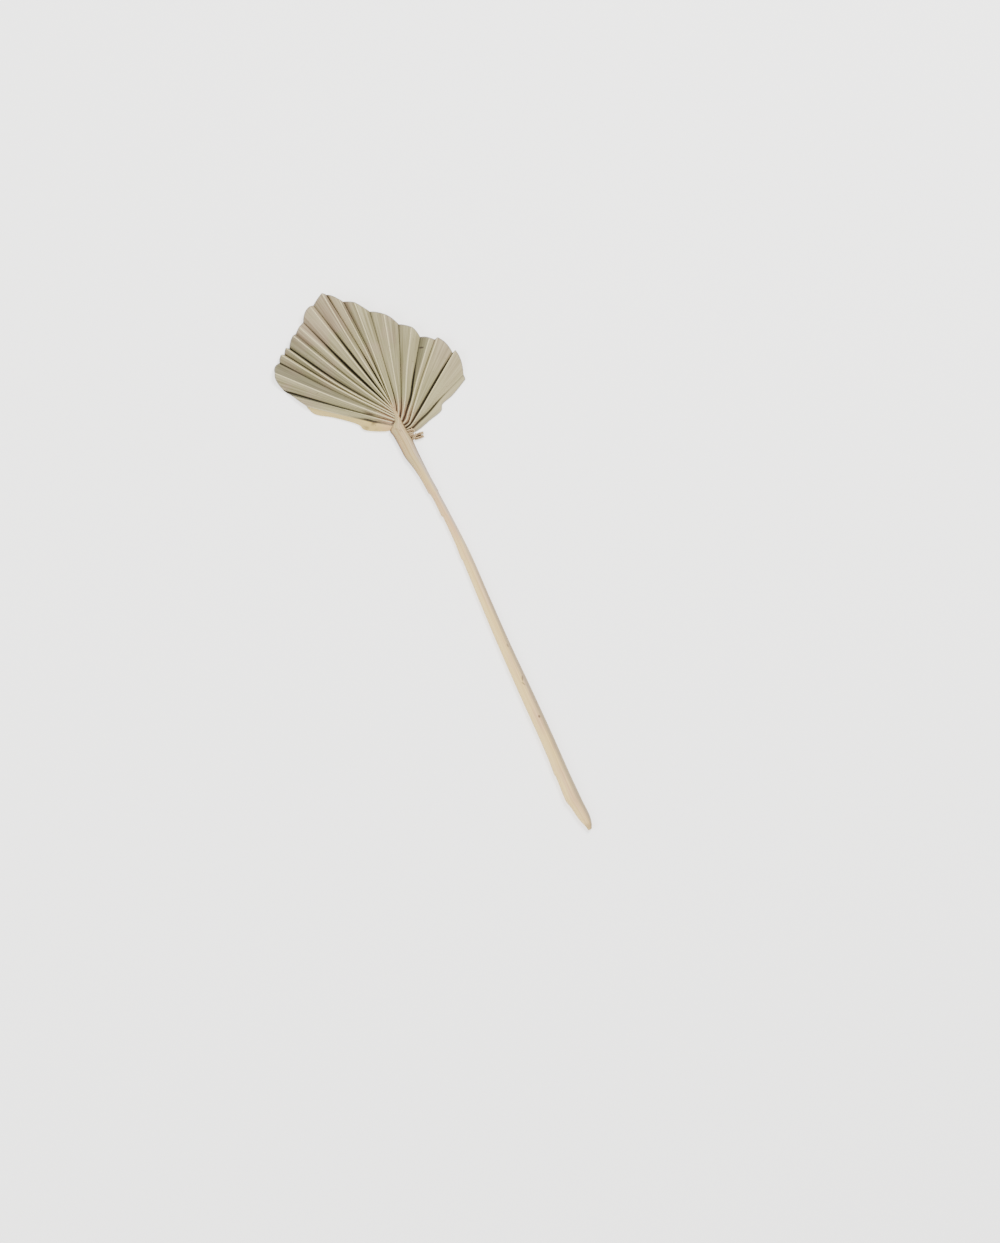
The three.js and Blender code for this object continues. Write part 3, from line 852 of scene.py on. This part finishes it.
def torn_end_material():
    """Torn leaf skin, rolled up as it dried: matt tan fibres, paler at the tips, with painted shade round
    the flanks of each roll and inside each half-rolled end.
    """
    made, tree, shader = new_material("torn palm fibre")
    fibre_place = parts_of(tree, "fibres")[0]
    _, dark, from_tip = parts_of(tree, "fold")
    base = mixed(tree, patterned(tree, fibre_place, TORN_FIBRES), TORN_TAN, TORN_CREAM)
    base = painted(tree, base, TORN_TIP_CREAM, ranged(tree, from_tip, *TORN_TIP))
    base = painted(tree, base, TORN_SHADE, dark)
    finish_material(tree, shader, base, TORN_FINISH)
    return made


def dried_stem_material(colours):
    """Air-dried palm stalk: hard straw-coloured skin with a lengthwise grain and a faint satin gloss."""
    made, tree, shader = new_material("dried palm stalk")
    place = add_node(tree, "ShaderNodeTexCoord").outputs["Object"]
    _, side, cut = parts_of(tree, "flank")
    grain_place = parts_of(tree, "grain")[0]
    from_hub = distance_from(tree, place, STEM_HUB)

    # Straw with pinkish patches, and towards the hub tan, mottled with olive and peach
    base = mixed(tree, patterned(tree, place, PINK_PATCHES), colours.straw, STEM_PINK)
    near_hub = ranged(tree, from_hub, *STEM_TAN_REACH)
    base = painted(tree, base, STEM_TAN, near_hub)
    for paint, mottle in ((STEM_OLIVE, OLIVE_MOTTLE), (STEM_PEACH, PEACH_MOTTLE)):
        base = painted(tree, base, paint, product(tree, patterned(tree, place, mottle), near_hub))

    # Grain along the stalk
    grain = patches(tree, grain_place, GRAIN_SIZE, GRAIN_DETAIL)
    grain_colour = mixed(tree, ranged(tree, grain, *GRAIN_LEVELS), GRAIN_DARK, GRAIN_LIGHT)
    base = mixed(tree, GRAIN_COVER, base, grain_colour)

    # Lower down one side is paler and the other greyer. Below the stub the right side is lilac, and towards
    # the hub both edges are brown.
    far_down = ranged(tree, from_hub, *LOWER_STEM_REACH)
    below_stub = product(tree, ranged(tree, from_hub, *LILAC_FROM), ranged(tree, from_hub, *LILAC_TO))
    for paint, span, stretch in (
            (STEM_PALE, PALE_SIDE, far_down),
            (STEM_GREY, GREY_SIDE, far_down),
            (STEM_LILAC, LILAC_SIDE, below_stub)):
        base = painted(tree, base, paint, product(tree, ranged(tree, side, *span), stretch))
    base = painted(tree, base, STEM_EDGE_GREY, ranged(tree, side, *LEFT_EDGE))
    edges = ranged(tree, worked_out(tree, "ABSOLUTE", side), *EDGE_LINE)
    base = painted(tree, base, STEM_EDGE_BROWN, product(tree, edges, near_hub))

    # Specks at the hub, the cut end, the knots and the painted shade in the nook
    specks = product(tree, ranged(tree, from_hub, *STEM_SPECK_REACH), patterned(tree, place, STEM_SPECKS))
    base = painted(tree, base, STEM_SPECK_BROWN, specks)
    base = painted(tree, base, CUT_BROWN, ranged(tree, cut, *CUT_END))
    for mark in [NOOK_SHADE] + STEM_KNOTS:
        base = marked(tree, place, mark, base)
    finish_material(tree, shader, base, STEM_FINISH, grain)
    return made


def lit_acrylic_material(colour):
    """White acrylic of a light table: its own soft glow takes the shadows off the floor."""
    made, _, shader = new_material("lit white acrylic")
    shader.inputs["Base Color"].default_value = colour
    shader.inputs["Roughness"].default_value = FLOOR_ROUGHNESS
    shader.inputs["Emission Color"].default_value = colour
    shader.inputs["Emission Strength"].default_value = FLOOR_GLOW
    return made


class PALMLEAF_OT_blade(bpy.types.Operator):
    """Add the pleated blade of the leaf"""

    bl_idname = "palmleaf.blade"
    bl_label = "Pleated blade"

    def execute(self, context):
        sizes = context.scene.palm_leaf_sizes
        points, maps = blade_layout(sizes.crown, sizes.wobble / MM)
        columns, rows = points.shape[0] - 1, points.shape[1] - 1
        piece, column, row = add_grid("pleated_blade", columns, rows)
        if column.max() != columns or row.max() != rows:
            raise RuntimeError("the grid doesn't have the blade's columns and rows")
        place_points(piece, points[column, row])
        for name, values in maps.items():
            add_map(piece, name, values[column, row])
        thicken(piece, sizes.blade_thickness)
        skin = dried_blade_material(sizes, context.scene.palm_leaf_colours)
        finish_piece(piece, skin, SHARP_FOLD, "blade")
        return {"FINISHED"}


class PALMLEAF_OT_stub(bpy.types.Operator):
    """Add the frayed stub of rolled segment ends beside the stem"""

    bl_idname = "palmleaf.stub"
    bl_label = "Frayed stub"

    def execute(self, context):
        sizes = context.scene.palm_leaf_sizes
        rolls = [self.add_roll(number, roll, sizes.blade_thickness) for number, roll in enumerate(ROLLS)]
        deselect_all()
        for piece in rolls:
            piece.select_set(True)
        context.view_layer.objects.active = rolls[0]
        bpy.ops.object.join()
        stub = context.object
        stub.name = "frayed_stub"
        finish_piece(stub, torn_end_material(), SHARP_EDGE, "blade")
        return {"FINISHED"}

    def add_roll(self, number, roll, thickness):
        """One segment end, rolled up round its own length."""
        piece, column, row = add_grid(f"roll_{number}", ROLL_COLUMNS, ROLL_ROWS)
        path = smooth_path(roll.path, ROLL_ROWS)
        run = np.gradient(path, axis=0)
        side = np.stack([run[:, 1], -run[:, 0]], axis=1)
        side /= np.linalg.norm(side, axis=1)[:, None]
        turn = np.radians(roll.turn) * (2 * column / ROLL_COLUMNS - 1)
        radius = roll.root + (roll.tip - roll.root) * row / ROLL_ROWS
        out = radius * np.sin(turn)
        points = path[row].copy()
        points[:, :2] += side[row] * out[:, None]
        points[:, 2] += radius * (1 - np.cos(turn))
        points[:, 2] = np.maximum(points[:, 2], LOWEST_SKIN)
        place_points(piece, points)

        if roll.turn == CLOSED:
            dark = FLANK_SHADE * bell(np.abs(turn) - math.pi / 2, SHADE_SPREAD)
        else:
            dark = np.clip((INSIDE_TURN - np.abs(turn)) / SHADE_SPREAD, 0, 1)
        run_length = np.linalg.norm(np.diff(path, axis=0), axis=1).sum()
        along = run_length * row / ROLL_ROWS
        add_map(piece, "fibres", np.stack([out + FIBRE_SHIFT * number, along], axis=1) * MM)
        add_map(piece, "fold", np.stack([dark, run_length - along], axis=1))
        thicken(piece, thickness)
        return piece


class PALMLEAF_OT_stem(bpy.types.Operator):
    """Add the stem with its costa and its cut end"""

    bl_idname = "palmleaf.stem"
    bl_label = "Stem"

    def execute(self, context):
        half = smooth_path(STEM_SECTION, STEM_SIDES // 2)
        ring = np.maximum(np.vstack([half, half[-2::-1] * (-1, 1)]), (-1, 0))
        piece, column, row = add_grid("stem", STEM_SIDES, STEM_ROWS)
        ys = np.linspace(STEM[0].y, STEM[-1].y, STEM_ROWS + 1)
        left = np.array([stem_measure("left", y) - notch_width("left", y) for y in ys])
        right = np.array([stem_measure("right", y) + notch_width("right", y) for y in ys])
        under = np.array([max(stem_measure("under", y), 0) for y in ys])
        crest = np.array([stem_measure("crest", y) for y in ys])
        across = ring[column, 0] * ((right - left) / 2)[row]
        points = np.stack([
            ((left + right) / 2)[row] + across,
            ys[row],
            under[row] + ring[column, 1] * (crest - under)[row],
        ], axis=1)
        place_points(piece, points)
        cut = np.clip((CUT_FROM - ys[row]) / CUT_LENGTH, 0, 1)
        add_map(piece, "flank", np.stack([ring[column, 0], cut], axis=1))
        add_map(piece, "grain", np.stack([across, ys[row]], axis=1) * MM)
        close_tube(piece)
        skin = dried_stem_material(context.scene.palm_leaf_colours)
        finish_piece(piece, skin, SHARP_EDGE, "petiole")
        return {"FINISHED"}


class PALMLEAF_OT_stage(bpy.types.Operator):
    """Add the pale floor, the soft lights and the camera"""

    bl_idname = "palmleaf.stage"
    bl_label = "Stage"

    def execute(self, context):
        deselect_all()
        bpy.ops.mesh.primitive_plane_add(size=FLOOR_SIZE, location=(0, 0, 0))
        floor = context.object
        floor.name = "floor"
        floor.data.materials.append(lit_acrylic_material(context.scene.palm_leaf_colours.floor))
        self.add_camera(context)
        for light in LIGHTS:
            self.add_light(light)
        world = bpy.data.worlds.new("soft room")
        world.use_nodes = True
        background = world.node_tree.nodes["Background"]
        background.inputs["Color"].default_value = (1, 1, 1, 1)
        background.inputs["Strength"].default_value = ROOM_LIGHT
        context.scene.world = world
        return {"FINISHED"}

    def add_light(self, light):
        """One square soft light that faces the leaf."""
        turn = math.radians(VIEW_TURN)
        right = Vector((math.cos(turn), math.sin(turn), 0))
        up = Vector((-math.sin(turn), math.cos(turn), 0))
        place = right * light.right + up * light.up + Vector((0, 0, light.height))
        bpy.ops.object.light_add(type="AREA", location=place)
        lamp = bpy.context.object
        lamp.name = light.name
        lamp.data.energy = light.power
        lamp.data.size = light.size
        lamp.rotation_euler = (-place).to_track_quat("-Z", "Y").to_euler()

    def add_camera(self, context):
        """Camera straight above, turned as the photograph is."""
        place = (*from_the_hub(VIEW_CENTRE), VIEW_HEIGHT * LENS / SENSOR)
        bpy.ops.object.camera_add(location=place, rotation=(0, 0, math.radians(VIEW_TURN)))
        camera = context.object
        camera.name = "camera"
        camera.data.lens = LENS
        camera.data.sensor_width = SENSOR
        camera.data.sensor_fit = "AUTO"
        camera.data.clip_end = FARTHEST_SEEN
        context.scene.camera = camera


class PALMLEAF_PT_panel(bpy.types.Panel):
    """Lists the pieces of the leaf"""

    bl_label = "Palm leaf"
    bl_idname = "PALMLEAF_PT_panel"
    bl_space_type = "VIEW_3D"
    bl_region_type = "UI"
    bl_category = "Palm leaf"

    def draw(self, context):
        for group in (context.scene.palm_leaf_sizes, context.scene.palm_leaf_colours):
            box = self.layout.box()
            for name in group.__annotations__:
                box.prop(group, name)
        for operator in OPERATORS:
            self.layout.operator(operator.bl_idname)


OPERATORS = (PALMLEAF_OT_stage, PALMLEAF_OT_blade, PALMLEAF_OT_stub, PALMLEAF_OT_stem)
CLASSES = (PalmLeafSizes, PalmLeafColours) + OPERATORS + (PALMLEAF_PT_panel,)


def register():
    for kind in CLASSES:
        bpy.utils.register_class(kind)
    bpy.types.Scene.palm_leaf_sizes = bpy.props.PointerProperty(type=PalmLeafSizes)
    bpy.types.Scene.palm_leaf_colours = bpy.props.PointerProperty(type=PalmLeafColours)


def unregister():
    del bpy.types.Scene.palm_leaf_colours
    del bpy.types.Scene.palm_leaf_sizes
    for kind in reversed(CLASSES):
        bpy.utils.unregister_class(kind)


def main():
    """Makes the stage and every piece."""
    register()
    bpy.ops.palmleaf.stage()
    bpy.ops.palmleaf.blade()
    bpy.ops.palmleaf.stub()
    bpy.ops.palmleaf.stem()


if __name__ == "__main__":
    main()
